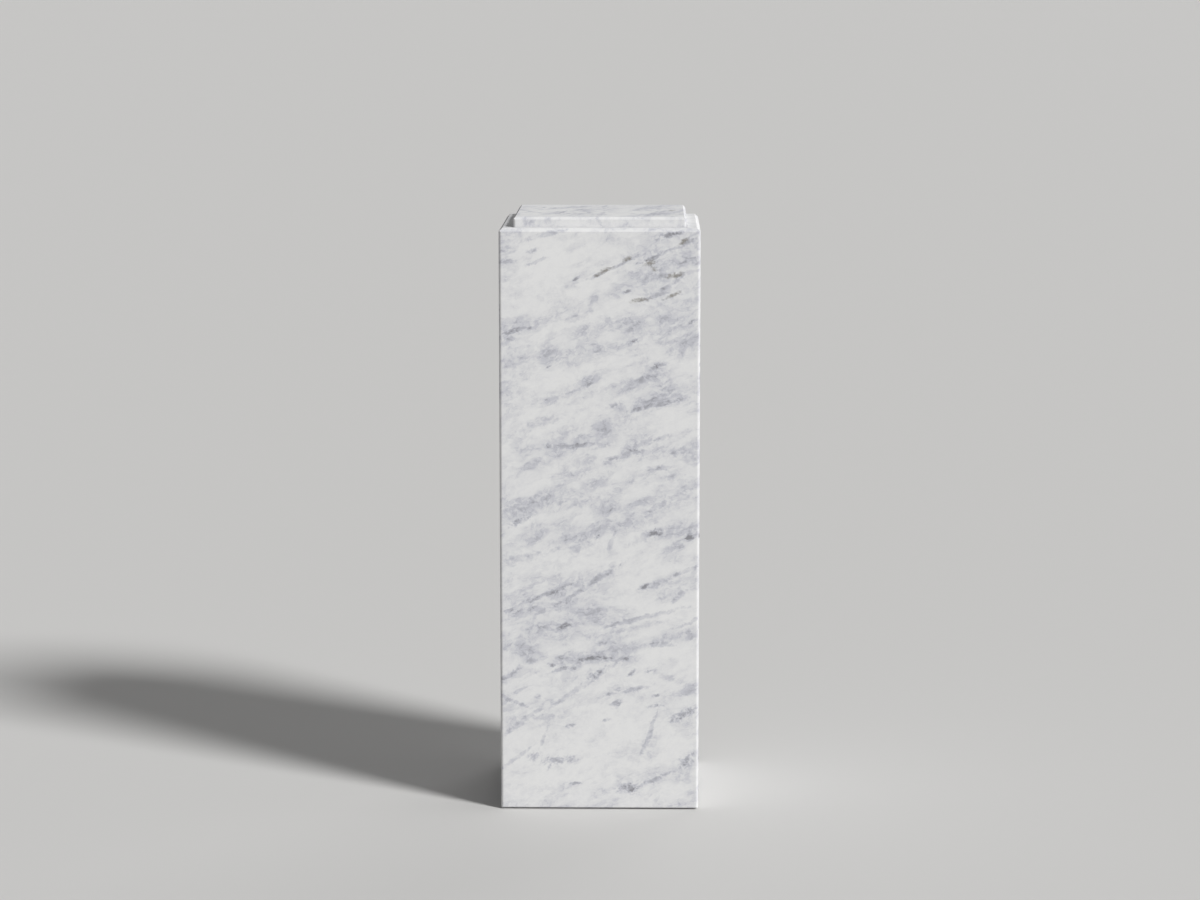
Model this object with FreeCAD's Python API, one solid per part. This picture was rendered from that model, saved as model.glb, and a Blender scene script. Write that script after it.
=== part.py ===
import FreeCAD, Part
import math
import os

os.makedirs("parts", exist_ok=True)

# Sizes are in millimetres. The front faces -Y, +X is to the right and the floor is at z = 0.

# Outside of the column
width = 304.8
depth = 304.8
height = 914.4
floor_gap = 2.0  # shadow gap between the stone and the floor

# Stone slabs
slab_thickness = 20.0
rim_chamfer = 5.5  # 45 degree bevel round the top of the four sides
upright_round = 4.5  # eased vertical edges
bottom_chamfer = 1.5
mitre_seam = 0.5  # resin in each 45 degree corner joint

# Raised top panel
panel_thickness = 20.0
panel_proud = 15.5  # height of the panel above the rim
panel_joint = 0.9  # gap all round between the panel and the sides
panel_chamfer = 4.0
panel_round = 4.5
bead_recess = 1.0  # depth of the joint filler below the rim

# Adhesive between the stone and the frame
adhesive_bed = 2.0
dab_radius = 22.0
dab_edge_margin = 50.4  # from the sides of the frame to the middle of a dab
dab_rows = 6
dab_end_margin = 70.0
bedding_radius = 24.0
bedding_edge_margin = 55.4

# Timber frame
thin_board = 12.0
thick_board = 18.0
batten_side = 22.0
brace_gap = 0.3  # clearance round each brace
brace_hole_radius = 30.0
board_ease = 0.6  # sanded edges of the sheet timber

# Countersunk wood screws
screw_radius = 2.0
screw_head_radius = 4.0
screw_head_depth = 2.2
screw_tip = 4.0
screw_gap = 0.1  # clearance of a screw in its hole
recess_width = 0.9
recess_length = 4.2
recess_depth = 1.2
liner_screw_length = 30.0
brace_screw_length = 35.0
end_screw_length = 50.0
liner_screw_rows = 5
liner_screw_margin = 60.0  # from the ends of the liners to the outer rows
side_row_drop = 14.0  # the side liners' rows sit this much lower than the front's
brace_screw_offset = 60.0

# Levelling feet
foot_inset = 66.0  # from the outer faces to a foot's axis
pad_radius = 18.0
pad_thickness = 2.5
pad_ease = 0.5
foot_radius = 19.0
foot_skirt = 1.8
foot_hub_radius = 9.0
foot_height = 6.0
stem_radius = 3.0
stem_head_radius = 3.6
stem_head_height = 1.2
socket_floor = 1.5  # nylon under the stem
swivel_gap = 0.05
swivel_lift = 0.1
collar_across_flats = 13.0
collar_height = 5.9
collar_bevel = 0.6
stud_radius = 4.0
stud_length = 35.5  # above the collar
stud_bevel = 1.0
thread_gap = 0.05
insert_flange_radius = 8.5
insert_flange_thickness = 1.5
insert_barrel_radius = 6.0
insert_barrel_length = 15.0
insert_gap = 0.1

# Levels
rim_top = height - panel_proud
panel_bottom = height - panel_thickness
deck_top = panel_bottom - adhesive_bed
deck_bottom = deck_top - thick_board
foot_top = pad_thickness + foot_height
collar_bottom = foot_top + swivel_lift
collar_top = collar_bottom + collar_height
base_bottom = collar_top + insert_flange_thickness
base_top = base_bottom + thick_board
liner_height = deck_bottom - base_top

# Half widths, from the outside in
void_x = width / 2 - slab_thickness
void_y = depth / 2 - slab_thickness
frame_x = void_x - adhesive_bed
frame_y = void_y - adhesive_bed
room_x = frame_x - thin_board
room_y = frame_y - thin_board
panel_x = void_x - panel_joint
panel_y = void_y - panel_joint

sides = (-1, 1)
corners = {
    "front_left": (-1, -1),
    "front_right": (1, -1),
    "back_left": (-1, 1),
    "back_right": (1, 1),
}
up = FreeCAD.Vector(0, 0, 1)
down = FreeCAD.Vector(0, 0, -1)


def box(x_range, y_range, z_range):
    low = FreeCAD.Vector(x_range[0], y_range[0], z_range[0])
    high = FreeCAD.Vector(x_range[1], y_range[1], z_range[1])
    size = high - low
    return Part.makeBox(size.x, size.y, size.z, low)


def prism(points, z_range):
    """A solid with the given plan, standing between two levels."""
    wire = Part.makePolygon([FreeCAD.Vector(x, y, z_range[0]) for x, y in points + points[:1]])
    return Part.Face(wire).extrude(FreeCAD.Vector(0, 0, z_range[1] - z_range[0]))


def turned(profile, point=FreeCAD.Vector(), direction=up):
    """A solid of revolution. The profile lists (radius, distance along the axis)."""
    points = [FreeCAD.Vector(radius, 0, along) for radius, along in profile + profile[:1]]
    solid = Part.Face(Part.makePolygon(points)).revolve(FreeCAD.Vector(), up, 360)
    solid.Placement = FreeCAD.Placement(point, FreeCAD.Rotation(up, direction))
    return solid


def level_edges(solid, z):
    return [e for e in solid.Edges if all(abs(v.Z - z) < 1e-6 for v in e.Vertexes)]


def upright_edges(solid):
    return [e for e in solid.Edges if abs(e.Vertexes[0].Z - e.Vertexes[-1].Z) > 1e-6]


def block(half_x, half_y, z_range, top, bottom, upright):
    """A block with mitred bevels round its top and bottom, and rounded uprights."""
    plain = box((-half_x, half_x), (-half_y, half_y), z_range)
    rounded = plain.makeFillet(upright, upright_edges(plain))
    bevelled = plain.makeChamfer(top, level_edges(plain, z_range[1]))
    if bottom:
        bevelled = bevelled.makeChamfer(bottom, level_edges(bevelled, z_range[0]))
    return bevelled.common(rounded)


def cut(solid, holes):
    return solid.cut(Part.makeCompound(holes)).Solids[0]


def eased_board(x_range, y_range, z_range):
    """Sheet timber with its long edges sanded."""
    board = box(x_range, y_range, z_range)
    return board.makeChamfer(board_ease, upright_edges(board))


def screw(point, direction, length):
    """A countersunk screw. The point is the centre of its head's flat face."""
    profile = [
        (0, 0),
        (screw_head_radius, 0),
        (screw_radius, screw_head_depth),
        (screw_radius, length - screw_tip),
        (0, length),
    ]
    arm = recess_length / 2
    half = recess_width / 2
    cross = [
        box((-arm, arm), (-half, half), (0, recess_depth)),
        box((-half, half), (-arm, arm), (0, recess_depth)),
    ]
    solid = cut(turned(profile), [cross[0].fuse(cross[1])])
    solid.Placement = FreeCAD.Placement(point, FreeCAD.Rotation(up, direction))
    return solid


def screw_hole(point, direction, length):
    """The hole for a screw, larger all round and a little deeper."""
    head = screw_head_radius + screw_gap
    shank = screw_radius + screw_gap
    profile = [(0, 0), (head, 0), (shank, screw_head_depth), (shank, length), (0, length + screw_gap)]
    return turned(profile, point, direction)


def corner_point(side_x, side_y, inward_x, inward_y):
    """A point in plan, measured inward from an outer corner of the column."""
    return side_x * (width / 2 - inward_x), side_y * (depth / 2 - inward_y)


nodes = {}

# Four side slabs, mitred at 45 degrees, cut from one bevelled outer form
outer = block(width / 2, depth / 2, (floor_gap, rim_top), rim_chamfer, bottom_chamfer, upright_round)
stone_range = (floor_gap, rim_top)
seam_step = mitre_seam / 2 * math.sqrt(2)
inner_step = slab_thickness + seam_step
for name, side in (("front_slab", -1), ("back_slab", 1)):
    plan = [
        corner_point(-1, side, seam_step, 0),
        corner_point(1, side, seam_step, 0),
        corner_point(1, side, inner_step, slab_thickness),
        corner_point(-1, side, inner_step, slab_thickness),
    ]
    nodes[name] = outer.common(prism(plan, stone_range))
for name, side in (("left_slab", -1), ("right_slab", 1)):
    plan = [
        corner_point(side, -1, 0, seam_step),
        corner_point(side, 1, 0, seam_step),
        corner_point(side, 1, slab_thickness, inner_step),
        corner_point(side, -1, slab_thickness, inner_step),
    ]
    nodes[name] = outer.common(prism(plan, stone_range))

# Resin seams that fill the mitres
seams = []
for side_x, side_y in corners.values():
    steps = [
        (0, 0),
        (seam_step, 0),
        (inner_step, slab_thickness),
        (slab_thickness, slab_thickness),
        (slab_thickness, inner_step),
        (0, seam_step),
    ]
    plan = [corner_point(side_x, side_y, x, y) for x, y in steps]
    seams.append(outer.common(prism(plan, stone_range)).Solids[0])
nodes["mitre_seams"] = Part.makeCompound(seams)

# Raised top panel and the filler in the joint round it
nodes["top_panel"] = block(panel_x, panel_y, (panel_bottom, height), panel_chamfer, 0, panel_round)
bead_range = (panel_bottom, rim_top - bead_recess)
nodes["top_joint_bead"] = cut(
    box((-void_x, void_x), (-void_y, void_y), bead_range), [nodes["top_panel"]]
)

# Timber frame: liners on a base board, battens in the corners and a deck on top
liner_range = (base_top, deck_bottom)
liners = {
    "front_liner": eased_board((-frame_x, frame_x), (-frame_y, -room_y), liner_range),
    "back_liner": eased_board((-frame_x, frame_x), (room_y, frame_y), liner_range),
    "left_liner": eased_board((-frame_x, -room_x), (-room_y, room_y), liner_range),
    "right_liner": eased_board((room_x, frame_x), (-room_y, room_y), liner_range),
}
deck = eased_board((-frame_x, frame_x), (-frame_y, frame_y), (deck_bottom, deck_top))
base = eased_board((-frame_x, frame_x), (-frame_y, frame_y), (base_bottom, base_top))
battens = {}
for corner, (side_x, side_y) in corners.items():
    x_range = sorted((side_x * room_x, side_x * (room_x - batten_side)))
    y_range = sorted((side_y * room_y, side_y * (room_y - batten_side)))
    battens[f"{corner}_batten"] = eased_board(x_range, y_range, liner_range)

# Braces that keep the liners square, notched round the battens
brace_levels = {
    "lower_brace": base_top + liner_height / 3,
    "upper_brace": base_top + liner_height * 2 / 3,
}
brace_x = room_x - brace_gap
brace_y = room_y - brace_gap
notch = batten_side + brace_gap
braces = {}
for name, middle in brace_levels.items():
    z_range = (middle - thin_board / 2, middle + thin_board / 2)
    gaps = [Part.makeCylinder(brace_hole_radius, thin_board, FreeCAD.Vector(0, 0, z_range[0]))]
    for side_x, side_y in corners.values():
        x_range = sorted((side_x * room_x, side_x * (room_x - notch)))
        y_range = sorted((side_y * room_y, side_y * (room_y - notch)))
        gaps.append(box(x_range, y_range, z_range))
    braces[name] = cut(box((-brace_x, brace_x), (-brace_y, brace_y), z_range), gaps)

# Where the screws go: (centre of the head, direction, length)
batten_x = room_x - batten_side / 2
batten_y = room_y - batten_side / 2
first_row = base_top + liner_screw_margin
row_step = (liner_height - 2 * liner_screw_margin) / (liner_screw_rows - 1)
liner_places = []
for row in range(liner_screw_rows):
    z = first_row + row * row_step
    for side in sides:
        for across in sides:
            front = FreeCAD.Vector(across * batten_x, side * frame_y, z)
            flank = FreeCAD.Vector(side * frame_x, across * batten_y, z - side_row_drop)
            liner_places.append((front, FreeCAD.Vector(0, -side, 0), liner_screw_length))
            liner_places.append((flank, FreeCAD.Vector(-side, 0, 0), liner_screw_length))
brace_places = []
for z in brace_levels.values():
    for side in sides:
        for across in sides:
            offset = across * brace_screw_offset
            front = FreeCAD.Vector(offset, side * frame_y, z)
            flank = FreeCAD.Vector(side * frame_x, offset, z)
            brace_places.append((front, FreeCAD.Vector(0, -side, 0), brace_screw_length))
            brace_places.append((flank, FreeCAD.Vector(-side, 0, 0), brace_screw_length))
deck_places = []
base_places = []
for side_x, side_y in corners.values():
    x, y = side_x * batten_x, side_y * batten_y
    deck_places.append((FreeCAD.Vector(x, y, deck_top), down, end_screw_length))
    base_places.append((FreeCAD.Vector(x, y, base_bottom), up, end_screw_length))
screw_groups = {
    "liner_screws": liner_places,
    "brace_screws": brace_places,
    "deck_screws": deck_places,
    "base_screws": base_places,
}
for name, places in screw_groups.items():
    nodes[name] = Part.makeCompound([screw(*place) for place in places])

# Foot positions, and the flanged nuts let into the base board for them
foot_points = {
    corner: (side_x * (width / 2 - foot_inset), side_y * (depth / 2 - foot_inset))
    for corner, (side_x, side_y) in corners.items()
}
thread_radius = stud_radius + thread_gap
insert_profile = [
    (thread_radius, collar_top),
    (insert_flange_radius, collar_top),
    (insert_flange_radius, base_bottom),
    (insert_barrel_radius, base_bottom),
    (insert_barrel_radius, base_bottom + insert_barrel_length),
    (thread_radius, base_bottom + insert_barrel_length),
]
inserts = []
insert_holes = []
for x, y in foot_points.values():
    inserts.append(turned(insert_profile, FreeCAD.Vector(x, y, 0)))
    hole_radius = insert_barrel_radius + insert_gap
    insert_holes.append(Part.makeCylinder(hole_radius, thick_board, FreeCAD.Vector(x, y, base_bottom)))
nodes["insert_nuts"] = Part.makeCompound(inserts)

# The frame's timbers, with every hole that reaches them
holes = [screw_hole(*place) for places in screw_groups.values() for place in places]
timbers = {**liners, "top_deck": deck, "base_board": base, **battens, **braces}
for name, timber in timbers.items():
    bores = [hole for hole in holes if hole.BoundBox.intersect(timber.BoundBox)]
    if name == "base_board":
        bores += insert_holes
    nodes[name] = cut(timber, bores)

# Dabs of adhesive between each slab and its liner, and under the top panel
dab_step = (liner_height - 2 * dab_end_margin) / (dab_rows - 1)
dab_levels = [base_top + dab_end_margin + row * dab_step for row in range(dab_rows)]
dab_x = frame_x - dab_edge_margin
dab_y = frame_y - dab_edge_margin
for name, start, direction, reach in (
    ("front_adhesive", FreeCAD.Vector(0, -void_y, 0), FreeCAD.Vector(0, 1, 0), dab_x),
    ("back_adhesive", FreeCAD.Vector(0, frame_y, 0), FreeCAD.Vector(0, 1, 0), dab_x),
    ("left_adhesive", FreeCAD.Vector(-void_x, 0, 0), FreeCAD.Vector(1, 0, 0), dab_y),
    ("right_adhesive", FreeCAD.Vector(frame_x, 0, 0), FreeCAD.Vector(1, 0, 0), dab_y),
):
    sideways = direction.cross(up)
    dabs = []
    for level in dab_levels:
        for across in sides:
            point = start + sideways * across * reach + up * level
            dabs.append(Part.makeCylinder(dab_radius, adhesive_bed, point, direction))
    nodes[name] = Part.makeCompound(dabs)
bed_x = frame_x - bedding_edge_margin
bed_y = frame_y - bedding_edge_margin
bed_points = [(0, 0)] + [(side_x * bed_x, side_y * bed_y) for side_x, side_y in corners.values()]
nodes["top_bedding"] = Part.makeCompound(
    [Part.makeCylinder(bedding_radius, adhesive_bed, FreeCAD.Vector(x, y, deck_top)) for x, y in bed_points]
)

# One levelling foot, drawn on its own axis: pad, swivelling base and threaded stud
pad_profile = [
    (0, 0),
    (pad_radius - pad_ease, 0),
    (pad_radius, pad_ease),
    (pad_radius, pad_thickness),
    (0, pad_thickness),
]
socket_bottom = pad_thickness + socket_floor
socket_step = socket_bottom + stem_head_height + swivel_lift
base_profile = [
    (0, pad_thickness),
    (foot_radius, pad_thickness),
    (foot_radius, pad_thickness + foot_skirt),
    (foot_hub_radius, foot_top),
    (stem_radius + swivel_gap, foot_top),
    (stem_radius + swivel_gap, socket_step),
    (stem_head_radius + swivel_gap, socket_step),
    (stem_head_radius + swivel_gap, socket_bottom),
    (0, socket_bottom),
]
stem_profile = [
    (0, socket_bottom),
    (stem_head_radius, socket_bottom),
    (stem_head_radius, socket_bottom + stem_head_height),
    (stem_radius, socket_bottom + stem_head_height),
    (stem_radius, collar_bottom),
    (stem_radius, collar_top),
    (stud_radius, collar_top),
    (stud_radius, collar_top + stud_length - stud_bevel),
    (stud_radius - stud_bevel, collar_top + stud_length),
    (0, collar_top + stud_length),
]
flat = collar_across_flats / 2
point_radius = flat / math.cos(math.pi / 6)
hexagon = [
    (point_radius * math.cos(turn * math.pi / 3), point_radius * math.sin(turn * math.pi / 3))
    for turn in range(6)
]
bevelled_disc = [
    (0, collar_bottom),
    (flat, collar_bottom),
    (point_radius, collar_bottom + collar_bevel),
    (point_radius, collar_top - collar_bevel),
    (flat, collar_top),
    (0, collar_top),
]
pad = turned(pad_profile)
foot_base = turned(base_profile)
collar = prism(hexagon, (collar_bottom, collar_top)).common(turned(bevelled_disc))
stud = turned(stem_profile).fuse(collar).removeSplitter()
for corner, (x, y) in foot_points.items():
    for name, shape in (("foot_pad", pad), ("foot_base", foot_base), ("foot_stud", stud)):
        moved = shape.copy()
        moved.translate(FreeCAD.Vector(x, y, 0))
        nodes[f"{name}_{corner}"] = moved

for name, shape in nodes.items():
    shape.exportStep(f"parts/{name}.step")
    print(name, len(shape.Solids), round(shape.Volume), shape.isValid())
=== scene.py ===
import math
import random
import bmesh
import bpy
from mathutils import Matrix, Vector

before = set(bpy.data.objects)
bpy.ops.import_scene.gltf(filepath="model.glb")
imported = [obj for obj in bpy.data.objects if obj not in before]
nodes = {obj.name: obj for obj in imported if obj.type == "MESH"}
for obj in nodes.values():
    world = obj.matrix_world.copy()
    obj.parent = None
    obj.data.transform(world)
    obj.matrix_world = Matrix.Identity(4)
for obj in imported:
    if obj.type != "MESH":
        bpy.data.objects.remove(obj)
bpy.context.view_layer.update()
corners = ("front_left", "front_right", "back_left", "back_right")
perMetre = 1000.0  # sizes on a surface are in millimetres, and depths of bumps are in metres
noiseMiddle = 0.5  # what a noise swings about
print("frame loaded:", len(nodes), "nodes")


class Link:  # one output of a node, with arithmetic
    def __init__(self, finish, socket):
        self.finish = finish
        self.socket = socket

    def beside(self, output):  # another output of the same node
        return Link(self.finish, self.socket.node.outputs[output])

    def math(self, operation, *others):
        return self.finish.math(operation, self, *others)

    def __add__(self, other):
        return self.math("ADD", other)

    __radd__ = __add__

    def __sub__(self, other):
        return self.math("SUBTRACT", other)

    def __rsub__(self, other):
        return self.finish.math("SUBTRACT", other, self)

    def __mul__(self, other):
        return self.math("MULTIPLY", other)

    __rmul__ = __mul__

    def __truediv__(self, other):
        return self.math("DIVIDE", other)

    def __rtruediv__(self, other):
        return self.finish.math("DIVIDE", other, self)

    def __abs__(self):
        return self.math("ABSOLUTE")

    def least(self, other):
        return self.math("MINIMUM", other)

    def most(self, other):
        return self.math("MAXIMUM", other)


class Finish:  # the nodes of a material, or of the world
    def __init__(self, name, kind=bpy.data.materials):
        self.owner = kind.new(name)
        self.owner.use_nodes = True
        self.tree = self.owner.node_tree
        self.tree.nodes.clear()

    def add(self, kind, settings, values, output=0):  # a node that ends the tree has None for its output
        node = self.tree.nodes.new(kind)
        for key, value in settings.items():
            if key == "stops":
                for place, tone in value[1:-1]:
                    node.color_ramp.elements.new(place)
                for stop, (place, tone) in zip(node.color_ramp.elements, value):
                    stop.position = place
                    stop.color = (*tone, 1)
            else:
                setattr(node, key, value)
        for key, value in values.items():
            if isinstance(value, Link):
                self.tree.links.new(value.socket, node.inputs[key])
            else:
                node.inputs[key].default_value = value
        return None if output is None else Link(self, node.outputs[output])

    def math(self, operation, *values):
        return self.add("ShaderNodeMath", {"operation": operation}, dict(enumerate(values)))

    def vector(self, operation, values, output=0):
        return self.add("ShaderNodeVectorMath", {"operation": operation}, values, output)

    def place(self):  # where the surface is, in millimetres
        metres = self.add("ShaderNodeTexCoord", {}, {}, "Object")
        return self.vector("SCALE", {0: metres, "Scale": perMetre})

    def split(self, vector):
        x = self.add("ShaderNodeSeparateXYZ", {}, {0: vector})
        return [x, x.beside(1), x.beside(2)]

    def join(self, x, y, z):
        return self.add("ShaderNodeCombineXYZ", {}, {0: x, 1: y, 2: z})

    def noise(self, vector, size, detail=2.0, rough=0.5, colour=False):
        values = {"Vector": vector, "Scale": 1 / size, "Detail": detail, "Roughness": rough}
        return self.add("ShaderNodeTexNoise", {}, values, 1 if colour else 0)

    def drift(self, vector, pushes):  # push a pattern about, each time by up to so much over such a size
        for reach, size in pushes:
            wander = self.noise(vector, size, colour=True)
            centred = self.vector("SUBTRACT", {0: wander, 1: (noiseMiddle, noiseMiddle, noiseMiddle)})
            pushed = self.vector("SCALE", {0: centred, "Scale": 2 * reach})
            vector = self.vector("ADD", {0: vector, 1: pushed})
        return vector

    def fade(self, value, low, high, start=0.0, end=1.0):  # smooth step from start to end
        settings = {"interpolation_type": "SMOOTHSTEP", "clamp": False}
        return self.add("ShaderNodeMapRange", settings, {0: value, 1: low, 2: high, 3: start, 4: end})

    def mix(self, amount, first, second):
        def colour(value):
            return value if isinstance(value, Link) else (*value, 1)
        values = {0: amount, 6: colour(first), 7: colour(second)}
        return self.add("ShaderNodeMix", {"data_type": "RGBA"}, values, 2)

    def bump(self, height, depth, strength=1.0):  # depth in metres
        values = {"Height": height, "Distance": depth, "Strength": strength}
        return self.add("ShaderNodeBump", {}, values)

    def surface(self, **values):
        inputs = {key.replace("_", " "): value for key, value in values.items()}
        if not isinstance(inputs["Base Color"], Link):
            inputs["Base Color"] = (*inputs["Base Color"], 1)
        shader = self.add("ShaderNodeBsdfPrincipled", {}, inputs)
        self.add("ShaderNodeOutputMaterial", {}, {"Surface": shader}, None)
        return self.owner


def cover(names, material):
    for name in names:
        slots = nodes[name].data.materials
        slots.clear()
        slots.append(material)


marble = {
    "tones": [  # from clear stone to the darkest veins
        (0.00, (0.750, 0.750, 0.747)), (0.25, (0.656, 0.658, 0.671)), (0.50, (0.535, 0.540, 0.581)),
        (0.75, (0.410, 0.414, 0.450)), (1.00, (0.270, 0.270, 0.288)),
    ],
    "rust": (0.235, 0.215, 0.165),
    "rustShare": 0.65,
    "bedding": 19.0,  # slope of the stone's layers
    "face": -152.4,  # where a slab's outer face is, going into the column
    "slant": (0.9, 0.5),  # how far marks move across and up for each millimetre into the slab
    "slopes": (-25, 4, 14, 24, 34, 48, 70),  # slopes that marks are rounded to
    "markFade": (0.1, 1.9),  # where a mark starts to fade and where it ends, in its own half sizes
    "markDrift": ((5, 30), (1.8, 6)),  # how far the marks are pushed about, and over what size
    "layerDrift": ((12, 80), (3.6, 13)),
    "stretch": {"bedded": 2.1, "crumbled": 1.3, "drawn": 4.2},  # along each kind of layer
    "beddedThrough": 0.7,  # under 1, so the wide layers change slowly into the slab
    "noise": {  # the layers that each pattern lies in, and its size, detail and roughness
        "wide": ("bedded", 60, 2, 0.5),
        "clouds": ("bedded", 20, 4, 0.55),
        "mottle": ("crumbled", 8, 4, 0.6),
        "fine": ("crumbled", 2.8, 2, 0.6),
        "streaks": ("drawn", 7, 2.5, 0.5),
        "net": ("crumbled", 17, 2.5, 0.5),
        "crazing": ("crumbled", 8, 2.5, 0.55),
        "lenses": ("bedded", 20, 2, 0.5),
    },
    "lineWidths": {"net": 0.052, "crazing": 0.05, "lenses": 0.05},  # how near its middle a noise draws them
    "cloudy": {"wide": 0.4, "patches": 0.16, "quiet": 0.10, "fade": (-0.15, 0.22)},
    "streaky": {"wide": 0.3, "quiet": 0.1, "fade": (0.54, 0.70)},
    "lensFade": (-0.02, 0.12),
    "edges": {  # how far mottling and fine noise eat into the marks of each kind, and where they stop
        "veins": {"mottle": 1.5, "fine": 0.8, "fade": (0.12, 0.95), "reach": 0.15},
        "threads": {"mottle": 1.2, "fine": 0.8, "fade": (0.05, 0.75), "reach": 0.2},
        "flecks": {"mottle": 1.8, "fine": 1.2, "fade": (0.05, 1.20), "reach": 0.3},
        "rustFlecks": {"mottle": 1.8, "fine": 1.8, "fade": (0.1, 1.3), "reach": 0.2},
    },
    "grey": {  # how much each thing darkens the stone
        "ground": 0.076, "wide": 0.12, "mottle": 0.26, "fine": 0.155, "quiet": 0.03,
        "cloud": 0.225, "mottledCloud": 0.5,
        "patch": 0.13, "cloudedPatch": 0.4,
        "net": 0.13, "mottledNet": 0.52,
        "lens": 0.08,
        "streak": 0.06, "cloudedStreak": 0.11,
        "least": 0.02,  # before the veins and flecks are added
        "vein": 0.19, "mottledVein": 0.45,
        "thread": 0.26, "mottledThread": 0.7,
        "fleck": 0.20, "fleckHeart": 0.36,
        "rustFleck": 0.34,
    },
    "grain": (1.1, 2, 0.6),
    "grainDepth": 0.00002,
    "roughness": 0.58,
    "roughSwing": 0.10,
    "refraction": 1.45,
    "specular": 0.2,
}

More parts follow.
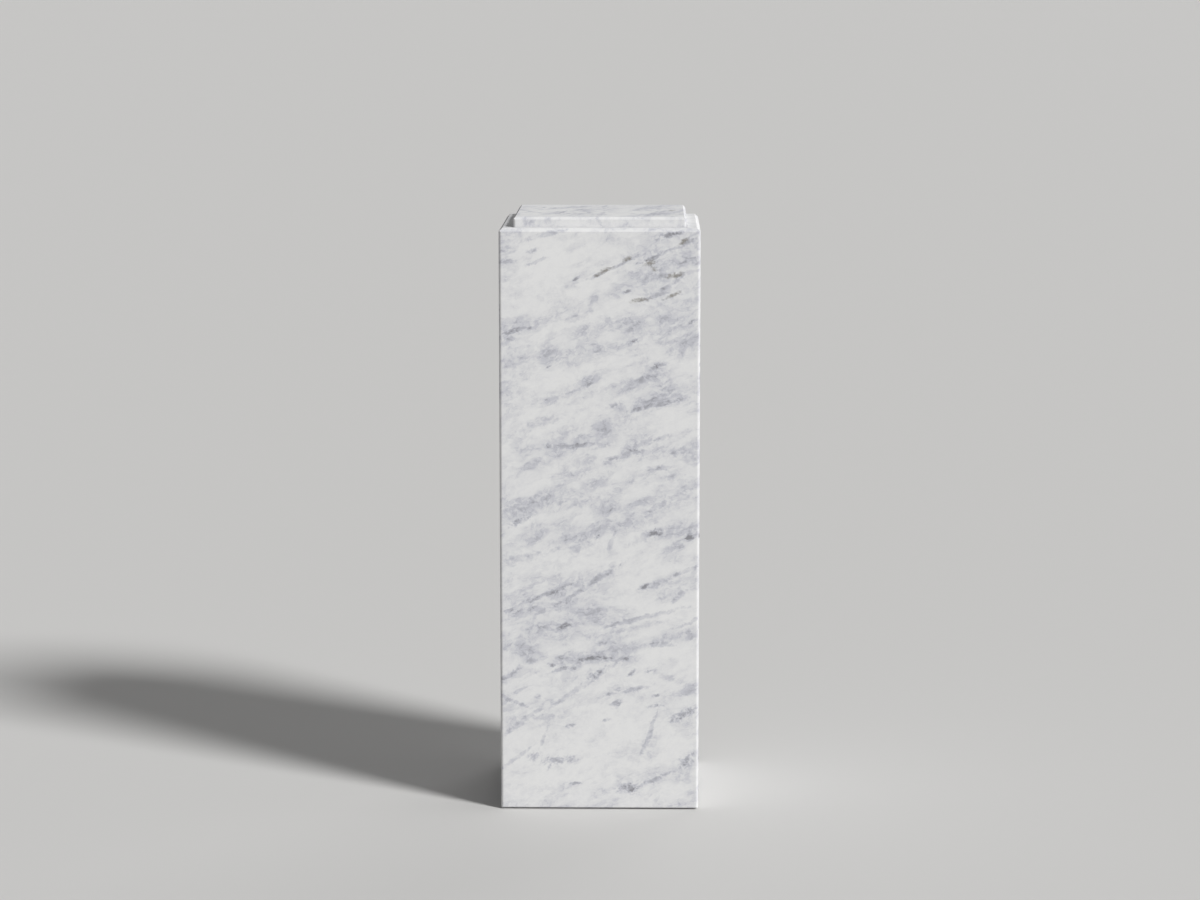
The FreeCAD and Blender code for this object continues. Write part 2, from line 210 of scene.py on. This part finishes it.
# The front slab's marks: (across, up, half length, half width, slope). Across is from the middle of the
# slab and up is from the floor, in millimetres, and slope is in degrees. Quiet marks are clear stone.
frontMarks = {
    "quiet": [
        (-70, 856, 44, 26, 14), (-55, 795, 62, 22, 14), (-10, 690, 60, 8, 20), (5, 178, 70, 26, 34),
        (90, 240, 44, 14, 24), (-20, 100, 90, 34, 14), (20, 60, 80, 16, 10), (-100, 40, 50, 26, 24),
        (110, 105, 36, 22, 60), (-95, 215, 26, 26, 24), (-60, 385, 50, 10, 14),
        (110, 310, 40, 14, 4), (-95, 730, 70, 16, 16),
    ],
    "patches": [
        (-44, 300, 58, 26, 28), (-62, 566, 60, 12, 18), (74, 640, 60, 12, 16), (70, 262, 80, 8, 14),
        (0, 440, 84, 10, 18), (-104, 430, 40, 12, 22), (97, 835, 50, 13, 24), (42, 817, 30, 10, 22),
        (-38, 819, 18, 5, 40), (-7, 797, 15, 6, 60), (53, 753, 27, 8, 14), (102, 764, 22, 7, 12),
        (140, 733, 14, 8, 40), (-78, 715, 20, 9, 60), (-132, 700, 24, 8, 14), (126, 715, 22, 4, 62),
        (-14, 668, 13, 7, 20), (44, 655, 24, 5, 30), (39, 626, 24, 9, 14), (4, 598, 18, 12, 20),
        (-107, 540, 28, 13, 22), (-17, 505, 28, 8, 18), (-112, 474, 40, 11, 24),
        (15, 467, 26, 12, 10), (61, 484, 28, 6, 12), (110, 432, 38, 11, 14), (115, 412, 18, 6, 14),
        (-148, 436, 12, 9, 20), (-72, 330, 44, 14, 20), (87, 356, 26, 6, 20),
        (-74, 285, 44, 18, 20), (20, 271, 36, 9, 22), (133, 272, 20, 6, 8), (-107, 248, 20, 18, 40),
        (-18, 240, 52, 9, 4), (137, 187, 12, 7, 20),
    ],
    "veins": [
        (-143, 866, 10, 4, 14), (24, 797, 10, 3, -20), (-38, 763, 20, 5, 14), (13, 760, 13, 4, -16),
        (-27, 745, 13, 4, 32), (-101, 748, 9, 3, 24), (-139, 726, 15, 5, 40), (71, 671, 24, 5, 8),
        (-70, 639, 15, 5, 22), (-85, 606, 24, 6, 12), (-96, 601, 26, 6, 22), (65, 571, 26, 5, 14),
        (113, 559, 16, 7, 8), (113, 521, 13, 5, 4), (20, 545, 12, 4, 16), (-63, 478, 11, 3, 22),
        (76, 430, 34, 6, 24), (-26, 411, 20, 5, 20), (-70, 407, 11, 4, 10), (-115, 395, 36, 6, 18),
        (53, 286, 42, 4.4, 19), (22, 237, 18, 4.4, 8), (104, 209, 24, 4.6, -32),
        (-83, 145, 17, 4, 6), (88, 16, 11, 2.6, 50), (-100, 216, 9, 4, 20),
    ],
    "threads": [
        (106, 866, 44, 2.6, 29), (19, 839, 42, 2.4, 25), (134, 832, 18, 2.6, 14),
        (132, 851, 12, 2.2, 10), (110, 815, 24, 2.6, 34), (86, 797, 16, 2, 14),
        (-96, 849, 14, 2.4, 20), (-85, 889, 34, 3.6, 12), (-141, 848, 12, 3, 8),
        (-125, 744, 18, 3, 16), (86, 631, 36, 3, 16), (-35, 568, 42, 3.6, 2),
        (96, 581, 12, 3.6, 24), (92, 535, 18, 3.4, 6), (37, 555, 24, 3.4, 14),
        (92, 476, 18, 3.4, 26), (20, 421, 13, 3.4, 80), (-13, 356, 48, 3.6, 32),
        (122, 336, 13, 3.4, 46), (133, 375, 24, 2.6, 26), (-120, 310, 19, 3.4, 26),
        (93, 260, 18, 3.4, 8), (-24, 196, 68, 3.4, 38), (44, 188, 32, 3, 18),
        (-123, 187, 15, 2.4, 20), (-114, 141, 38, 3.6, 30), (77, 121, 32, 2.8, 66),
        (-131, 80, 26, 2.8, 38), (80, 45, 26, 2.8, 24), (-87, 112, 16, 2.4, 80),
        (-140, 174, 30, 2.6, -18), (-140, 212, 18, 3, 30), (70, 108, 20, 2.2, 80),
        (-10, 238, 22, 2.6, 8), (150, 300, 30, 2.6, 20), (-52, 222, 22, 2.6, 12),
        (60, 300, 60, 3, 18), (-100, 330, 50, 2.8, 28),
    ],
    "flecks": [
        (109, 889, 20, 4, 10), (-103, 865, 9, 3.4, 14), (-34, 824, 8, 2.6, 30), (42, 805, 6, 3, 10),
        (140, 757, 8, 3, 20), (51, 728, 8, 3, 30), (91, 693, 12, 4, 10), (-76, 690, 4, 2.2, 20),
        (23, 631, 12, 4, 14), (-122, 451, 20, 5, 24), (84, 433, 9, 5, 24), (136, 427, 10, 5, 14),
        (-6, 425, 7, 3, 30), (68, 347, 10, 5, 10), (-54, 287, 12, 4, 10), (-74, 228, 8, 3.4, -20),
        (-3, 216, 15, 4, 40), (48, 216, 8, 3, 42), (26, 165, 9, 6, 10), (86, 164, 12, 2.8, 4),
        (88, 181, 6, 2.6, 10), (133, 153, 26, 7, 24), (-96, 176, 6, 4, 0), (-46, 132, 8, 3.6, 4),
        (11, 143, 6, 3.4, 40), (-100, 83, 11, 6, 0), (-62, 79, 26, 6.5, 6), (46, 34, 20, 9, 14),
        (133, 78, 14, 8, 30), (-38, 40, 12, 2.6, 6), (-77, 70, 8, 3, 60), (77, 218, 9, 2.4, 14),
    ],
    "rustFlecks": [
        (125, 878, 9, 3, 32), (75, 847, 9, 4, 10), (82, 837, 6, 3.4, -60), (43, 853, 7, 3.4, 20),
        (8, 835, 14, 3, 24), (115, 828, 13, 3.4, 16), (111, 798, 13, 2.6, 26), (62, 790, 13, 3, 10),
    ],
}

# The other faces' marks: how many of each kind there are over a slab's height, their half lengths, half
# widths and slopes.
chance = {
    "quiet": (12, (40, 90), (10, 34), (5, 40)),
    "patches": (32, (14, 48), (6, 16), (8, 40)),
    "veins": (28, (10, 48), (3.8, 6), (5, 40)),
    "threads": (26, (14, 60), (2.2, 3.6), (-20, 50)),
    "flecks": (28, (5, 20), (2.4, 5), (0, 40)),
    "rustFlecks": (4, (6, 13), (2.6, 4), (10, 30)),
}
slabHeight = 900
clearRim = (0, 894, 220, 22, 4)  # one more quiet mark, just under the rim


def chanceMarks(seed, low, high, reach):
    draw = random.Random(seed)
    share = (high - low) / slabHeight
    marks = {}
    for kind, (count, lengths, widths, slopes) in chance.items():
        marks[kind] = [
            (draw.uniform(-reach, reach), draw.uniform(low, high), draw.uniform(*lengths),
             draw.uniform(*widths), draw.uniform(*slopes))
            for _ in range(round(count * share))
        ]
    marks["quiet"].append(clearRim)
    return marks


def turnedPoints(finish, point):  # the same point seen from axes turned by each of the slopes
    turned = {}
    for slope in marble["slopes"]:
        values = {"Vector": point, "Rotation": (0, 0, -math.radians(slope))}
        turned[slope] = finish.add("ShaderNodeMapping", {}, values)
    return turned


def closeness(finish, turned, marks):  # 1 at the middle of the nearest mark, falling away to 0
    distance = None
    for across, up, halfLength, halfWidth, lean in marks:
        slope = min(marble["slopes"], key=lambda choice: abs(choice - lean))
        cosine, sine = math.cos(math.radians(slope)), math.sin(math.radians(slope))
        along, over = across * cosine + up * sine, up * cosine - across * sine
        start = (along / -halfLength, over / -halfWidth, 0)
        values = {0: turned[slope], 1: (1 / halfLength, 1 / halfWidth, 0), 2: start}
        reach = finish.vector("LENGTH", {0: finish.vector("MULTIPLY_ADD", values)}, 1)
        distance = reach if distance is None else distance.least(reach)
    return finish.fade(distance, *marble["markFade"], 1.0, 0.0)


def layeredPoints(finish, flat, bedding):  # points that run along the stone's layers
    x, y, through = finish.split(finish.drift(flat, marble["layerDrift"]))
    slope = math.radians(bedding)
    along = x * math.cos(slope) + y * math.sin(slope)
    over = y * math.cos(slope) - x * math.sin(slope)
    stretch = marble["stretch"]
    return {
        "bedded": finish.join(along / stretch["bedded"], over, through * marble["beddedThrough"]),
        "crumbled": finish.join(along / stretch["crumbled"], over, through),
        "drawn": finish.join(along / stretch["drawn"], over, through),
    }


def marbleSlab(name, settings):
    finish = Finish(name)
    axes = dict(zip("xyz", finish.split(finish.place())))
    across, up, into = (axes[axis] * sign for axis, sign in settings["axes"])
    flat = finish.join(across + settings["run"], up, into)
    layers = layeredPoints(finish, flat, settings.get("bedding", marble["bedding"]))
    noises = {}
    for pattern, (layer, size, detail, rough) in marble["noise"].items():
        noises[pattern] = finish.noise(layers[layer], size, detail, rough)
    swings = (noises[pattern] - noiseMiddle for pattern in ("wide", "clouds", "mottle", "fine"))
    wide, clouds, mottle, fine = swings
    lines = {}  # thin soft lines, where a noise crosses its middle
    for pattern, width in marble["lineWidths"].items():
        lines[pattern] = finish.fade(abs(noises[pattern] - noiseMiddle), 0.0, width, 1.0, 0.0)

    # the marks run into the slab at a slant, and are pushed about so that their edges are never smooth
    deep = into - settings.get("face", marble["face"])
    slantAcross, slantUp = marble["slant"]
    slanted = finish.join(across + deep * slantAcross, up + deep * slantUp, 0.0)
    turned = turnedPoints(finish, finish.drift(slanted, marble["markDrift"]))
    near = {kind: closeness(finish, turned, marks) for kind, marks in settings["marks"].items()}
    quiet, patches = near["quiet"], near["patches"]

    # clouds and mottling, the net of lines inside them, faint lens shapes and short streaks
    grey, cloud, streak = marble["grey"], marble["cloudy"], marble["streaky"]
    cloudy = clouds + wide * cloud["wide"] + patches * cloud["patches"] - quiet * cloud["quiet"]
    cloudy = finish.fade(cloudy, *cloud["fade"])
    dark = grey["ground"] + cloudy * (grey["cloud"] + mottle * grey["mottledCloud"])
    dark = dark + mottle * grey["mottle"] + wide * grey["wide"] + fine * grey["fine"]
    dark = dark + patches * (grey["patch"] + clouds * grey["cloudedPatch"])
    netted = (lines["net"] + lines["crazing"]) * cloudy
    dark = dark + netted * (grey["net"] + mottle * grey["mottledNet"])
    lensed = lines["lenses"] * finish.fade(wide + mottle, *marble["lensFade"])
    dark = dark + lensed * grey["lens"] - quiet * grey["quiet"]
    streaky = noises["streaks"] + wide * streak["wide"] - quiet * streak["quiet"]
    streaky = finish.fade(streaky, *streak["fade"])
    dark = dark + streaky * (grey["streak"] + cloudy * grey["cloudedStreak"])

    # veins, threads and flecks, broken up by the mottling
    broken = {}
    for kind, edge in marble["edges"].items():
        eaten = finish.fade(near[kind] + mottle * edge["mottle"] + fine * edge["fine"], *edge["fade"])
        broken[kind] = eaten * finish.fade(near[kind], 0.0, edge["reach"])
    dark = dark.most(grey["least"]) + broken["veins"] * (grey["vein"] + mottle * grey["mottledVein"])
    dark = dark + broken["threads"] * (grey["thread"] + mottle * grey["mottledThread"])
    dark = dark + broken["flecks"] * (grey["fleck"] + broken["flecks"] * grey["fleckHeart"])
    dark = dark + broken["rustFlecks"] * grey["rustFleck"]
    tone = finish.add("ShaderNodeValToRGB", {"stops": marble["tones"]}, {0: dark})
    tone = finish.mix(broken["rustFlecks"] * marble["rustShare"], tone, marble["rust"])

    grain = finish.noise(flat, *marble["grain"])
    rough = marble["roughness"] + (grain - noiseMiddle) * marble["roughSwing"]
    skin = finish.bump(grain, marble["grainDepth"])
    return finish.surface(
        Base_Color=tone, Roughness=rough, Normal=skin, IOR=marble["refraction"],
        Specular_IOR_Level=marble["specular"],
    )


columnWidth = 304.8
slabSpan = (0, slabHeight, 150)  # from the lowest mark to the highest, and how far to either side
panelSpan = (-130, 130, 95)
slabs = {  # which way is across, up and into each slab, its place along a strip of stone, and its marks
    "front_slab": {"axes": (("x", 1), ("z", 1), ("y", 1)), "run": 0, "marks": frontMarks},
    "right_slab": {
        "axes": (("y", 1), ("z", 1), ("x", -1)), "run": columnWidth, "marks": chanceMarks(3, *slabSpan),
    },
    "back_slab": {
        "axes": (("x", -1), ("z", 1), ("y", -1)), "run": 2 * columnWidth, "marks": chanceMarks(5, *slabSpan),
    },
    "left_slab": {
        "axes": (("y", -1), ("z", 1), ("x", 1)), "run": -columnWidth, "marks": chanceMarks(8, *slabSpan),
    },
    "top_panel": {
        "axes": (("y", 1), ("x", 1), ("z", 1)), "run": 1200, "marks": chanceMarks(13, *panelSpan),
        "bedding": 9, "face": 914.4,
    },
}
for slabName, slabSettings in slabs.items():
    cover([slabName], marbleSlab(slabName.split("_")[0] + "Marble", slabSettings))
print("marble done")


fillers = {
    "seamResin": {"colour": (0.72, 0.72, 0.725), "roughness": 0.4, "nodes": ["mitre_seams"]},
    "jointFiller": {"colour": (0.42, 0.42, 0.43), "roughness": 0.7, "nodes": ["top_joint_bead"]},
    "stoneAdhesive": {
        "colour": (0.60, 0.58, 0.52), "roughness": 0.8,
        "nodes": ["front_adhesive", "back_adhesive", "left_adhesive", "right_adhesive", "top_bedding"],
    },
}
fillerGrain = {"noise": (1.4, 3, 0.6), "fade": (0.35, 0.65), "shade": 0.93, "roughSwing": 0.1}
for fillerName, filler in fillers.items():
    finish = Finish(fillerName)
    grain = finish.noise(finish.place(), *fillerGrain["noise"])
    shaded = tuple(part * fillerGrain["shade"] for part in filler["colour"])
    tone = finish.mix(finish.fade(grain, *fillerGrain["fade"]), filler["colour"], shaded)
    rough = filler["roughness"] + (grain - noiseMiddle) * fillerGrain["roughSwing"]
    cover(filler["nodes"], finish.surface(Base_Color=tone, Roughness=rough))
print("fillers done")


def spanOf(name):  # where a CAD node starts and how far it goes along x, y and z, in millimetres
    points = [Vector(point) * perMetre for point in nodes[name].bound_box]
    low = [min(point[axis] for point in points) for axis in range(3)]
    return low, [max(point[axis] for point in points) - low[axis] for axis in range(3)]


plywood = {
    "sheets": [
        "front_liner", "back_liner", "left_liner", "right_liner", "top_deck", "base_board", "lower_brace",
        "upper_brace",
    ],
    "plies": 9,
    "sanded": 0.15,  # share of an outer ply that is sanded away
    "plyFade": (-0.25, 0.25),  # how soft the step from one ply to the next is
    "face": ((0.62, 0.45, 0.27), (0.50, 0.34, 0.19)),  # pale and dark grain
    "core": ((0.40, 0.27, 0.15), (0.30, 0.20, 0.11)),  # plies that show their end grain at an edge
    "figureStretch": 14,
    "figureThrough": 0.6,
    "figureDrift": ((5, 52),),
    "figure": (26, 3, 0.55),
    "ringTurns": 46,  # how fast rings follow each other over the figure
    "ringFade": (-0.9, 1.0),
    "fibreStretch": 30,
    "fibre": (0.9, 3, 0.6),
    "tone": {"start": 0.2, "rings": 0.55, "fibre": 0.9},
    "roughness": 0.62,
    "roughSwing": 0.16,
    "bump": {"rings": 0.3, "depth": 0.0002, "strength": 0.6},
}


def plywoodSheet(name):  # its plies lie across its thinnest way and its grain runs along its longest
    finish = Finish(name + "Plywood")
    low, size = spanOf(name)
    thin, long = size.index(min(size)), size.index(max(size))
    middle = ({0, 1, 2} - {thin, long}).pop() if thin != long else (thin + 1) % 3
    place = finish.split(finish.place())
    through, along, over = place[thin], place[long], place[middle]
    sanded = plywood["sanded"]
    plies = sanded + (through - low[thin]) * ((plywood["plies"] - 2 * sanded) / size[thin])
    isFace = finish.fade(((plies - 0.5) * math.pi).math("COSINE"), *plywood["plyFade"])
    flat = finish.join(along / plywood["figureStretch"], over, through * plywood["figureThrough"])
    figure = finish.noise(finish.drift(flat, plywood["figureDrift"]), *plywood["figure"])
    rings = finish.fade((figure * plywood["ringTurns"]).math("SINE"), *plywood["ringFade"])
    fibre = finish.noise(finish.join(along / plywood["fibreStretch"], over, through), *plywood["fibre"])
    shades, bump = plywood["tone"], plywood["bump"]
    amount = rings * shades["rings"] + (fibre - noiseMiddle) * shades["fibre"] + shades["start"]
    face = finish.mix(amount, *plywood["face"])
    core = finish.mix(fibre, *plywood["core"])
    rough = plywood["roughness"] + (fibre - noiseMiddle) * plywood["roughSwing"]
    skin = finish.bump(fibre + rings * bump["rings"], bump["depth"], bump["strength"])
    return finish.surface(Base_Color=finish.mix(isFace, core, face), Roughness=rough, Normal=skin)


for sheet in plywood["sheets"]:
    cover([sheet], plywoodSheet(sheet))
print("plywood done")


pine = {
    "early": (0.66, 0.49, 0.28),
    "late": (0.46, 0.28, 0.12),
    "ring": 3.4,  # from one growth ring to the next
    "lateFade": (0.1, 1.0),
    "heart": (30, 42),  # how far outside the batten its heart lies, along x and y
    "swayStretch": 14,
    "swaySize": 22,
    "swayReach": 9,
    "fibreStretch": 40,
    "fibre": (0.8, 3, 0.6),
    "tone": {"late": 0.75, "fibre": 0.5},
    "roughness": 0.58,
    "roughSwing": 0.14,
    "bump": {"late": 0.4, "depth": 0.0002, "strength": 0.6},
}


def pineBatten(name):
    finish = Finish(name + "Pine")
    low, size = spanOf(name)
    x, y, z = finish.split(finish.place())
    sway = finish.noise(finish.join(x, y, z / pine["swayStretch"]), pine["swaySize"])
    heartX, heartY = pine["heart"]
    fromHeart = finish.join(x - low[0] + heartX, y - low[1] + heartY + sway * pine["swayReach"], 0.0)
    radius = finish.vector("LENGTH", {0: fromHeart}, 1)
    late = finish.fade((radius * (2 * math.pi / pine["ring"])).math("SINE"), *pine["lateFade"])
    fibre = finish.noise(finish.join(x, y, z / pine["fibreStretch"]), *pine["fibre"])
    shades, bump = pine["tone"], pine["bump"]
    amount = late * shades["late"] + (fibre - noiseMiddle) * shades["fibre"]
    tone = finish.mix(amount, pine["early"], pine["late"])
    rough = pine["roughness"] + (fibre - noiseMiddle) * pine["roughSwing"]
    skin = finish.bump(fibre + late * bump["late"], bump["depth"], bump["strength"])
    return finish.surface(Base_Color=tone, Roughness=rough, Normal=skin)


for corner in corners:
    cover([corner + "_batten"], pineBatten(corner + "_batten"))
print("pine done")


zincSteel = {
    "nodes": ["liner_screws", "brace_screws", "deck_screws", "base_screws", "insert_nuts"],
    "studs": "foot_stud_",
    "bright": (0.66, 0.67, 0.69),
    "dull": (0.50, 0.51, 0.53),
    "spangle": (2.6, 3, 0.6),
    "spangleFade": (0.35, 0.7),
    "spangleMiddle": 0.4,
    "rubbed": (0.35, 2, 0.5),
    "roughness": 0.30,
    "spangleRough": 0.35,
    "rubbedRough": 0.12,
    "bump": {"depth": 0.00002, "strength": 0.6},
}


def platedSteel():
    finish = Finish("zincSteel")
    place = finish.place()
    spangle = finish.noise(place, *zincSteel["spangle"])
    rubbed = finish.noise(place, *zincSteel["rubbed"])
    shine = finish.fade(spangle, *zincSteel["spangleFade"])
    tone = finish.mix(shine, zincSteel["bright"], zincSteel["dull"])
    rough = zincSteel["roughness"] + (spangle - zincSteel["spangleMiddle"]) * zincSteel["spangleRough"]
    rough = rough + (rubbed - noiseMiddle) * zincSteel["rubbedRough"]
    skin = finish.bump(rubbed, zincSteel["bump"]["depth"], zincSteel["bump"]["strength"])
    return finish.surface(Base_Color=tone, Metallic=1.0, Roughness=rough, Normal=skin)


cover(zincSteel["nodes"] + [zincSteel["studs"] + corner for corner in corners], platedSteel())

moulded = {
    "nylon": {
        "pieces": "foot_base_", "colour": (0.030, 0.030, 0.032), "worn": (0.055, 0.055, 0.056),
        "grain": 0.7, "depth": 0.00004, "roughness": 0.46,
    },
    "padRubber": {
        "pieces": "foot_pad_", "colour": (0.060, 0.060, 0.058), "worn": (0.110, 0.108, 0.102),
        "grain": 1.3, "depth": 0.00010, "roughness": 0.80,
    },
}
wear = {
    "grainNoise": (3, 0.6), "grainTone": 0.3, "grainRough": 0.12,
    "scuffTimes": 9, "scuffNoise": (4, 0.6), "scuffFade": (0.45, 0.75), "scuffTone": 0.7, "scuffRough": 0.10,
}
for mouldedName, look in moulded.items():
    finish = Finish(mouldedName)
    grain = finish.noise(finish.place(), look["grain"], *wear["grainNoise"])
    scuff = finish.noise(finish.place(), look["grain"] * wear["scuffTimes"], *wear["scuffNoise"])
    scuff = finish.fade(scuff, *wear["scuffFade"])
    grainSwing = grain - noiseMiddle
    amount = scuff * wear["scuffTone"] + grainSwing * wear["grainTone"]
    tone = finish.mix(amount, look["colour"], look["worn"])
    rough = look["roughness"] + grainSwing * wear["grainRough"] + scuff * wear["scuffRough"]
    skin = finish.bump(grain, look["depth"])
    pieces = [look["pieces"] + corner for corner in corners]
    cover(pieces, finish.surface(Base_Color=tone, Roughness=rough, Normal=skin))
print("steel, nylon and rubber done")


stage = {"radius": 220.0, "sides": 96, "colour": (0.60, 0.595, 0.585), "roughness": 0.9}
floorMesh = bmesh.new()
bmesh.ops.create_circle(floorMesh, cap_ends=True, segments=stage["sides"], radius=stage["radius"])
floorData = bpy.data.meshes.new("studioFloor")
floorMesh.to_mesh(floorData)
floorMesh.free()
studioFloor = bpy.data.objects.new("studioFloor", floorData)
bpy.context.scene.collection.objects.link(studioFloor)
floorFinish = Finish("studioFloor")
floorData.materials.append(floorFinish.surface(Base_Color=stage["colour"], Roughness=stage["roughness"]))

lights = {  # where each comes from, its width in degrees, its strength, and whether it shows in gloss
    "key": {"from": (0.69, -0.54, 0.62), "width": 13, "strength": 3.55, "gloss": True},
    "backFill": {"from": (0.35, 0.90, 0.20), "width": 40, "strength": 1.2, "gloss": False},
}
for lightName, lamp in lights.items():
    lampData = bpy.data.lights.new(lightName, "SUN")
    lampData.angle = math.radians(lamp["width"])
    lampData.energy = lamp["strength"]
    lampObject = bpy.data.objects.new(lightName, lampData)
    lampObject.rotation_euler = Vector(lamp["from"]).to_track_quat("Z", "Y").to_euler()
    lampObject.visible_glossy = lamp["gloss"]
    bpy.context.scene.collection.objects.link(lampObject)

sky = {"lighting": 0.18, "backdrop": 0.48}  # its light on the object, and how bright it looks
studio = Finish("studio", bpy.data.worlds)
bpy.context.scene.world = studio.owner
cameraRay = studio.add("ShaderNodeLightPath", {}, {}, "Is Camera Ray")
seen = cameraRay.most(cameraRay.beside("Is Glossy Ray")).most(cameraRay.beside("Is Transmission Ray"))
level = sky["lighting"] + seen * (sky["backdrop"] - sky["lighting"])
backdrop = studio.add("ShaderNodeBackground", {}, {"Color": (1, 1, 1, 1), "Strength": level})
studio.add("ShaderNodeOutputWorld", {}, {"Surface": backdrop}, None)

camera = {"at": (0.0788, -5.0, 1.2819), "turn": 0.923, "down": 8.451, "lens": 96.7, "sensor": 36}
cameraData = bpy.data.cameras.new("camera")
cameraData.lens = camera["lens"]
cameraData.sensor_width = camera["sensor"]
cameraObject = bpy.data.objects.new("camera", cameraData)
cameraObject.location = camera["at"]
cameraObject.rotation_euler = (math.radians(90 - camera["down"]), 0, math.radians(camera["turn"]))
bpy.context.scene.collection.objects.link(cameraObject)
bpy.context.scene.camera = cameraObject
bpy.context.scene.view_settings.view_transform = "Standard"
print("stage done")
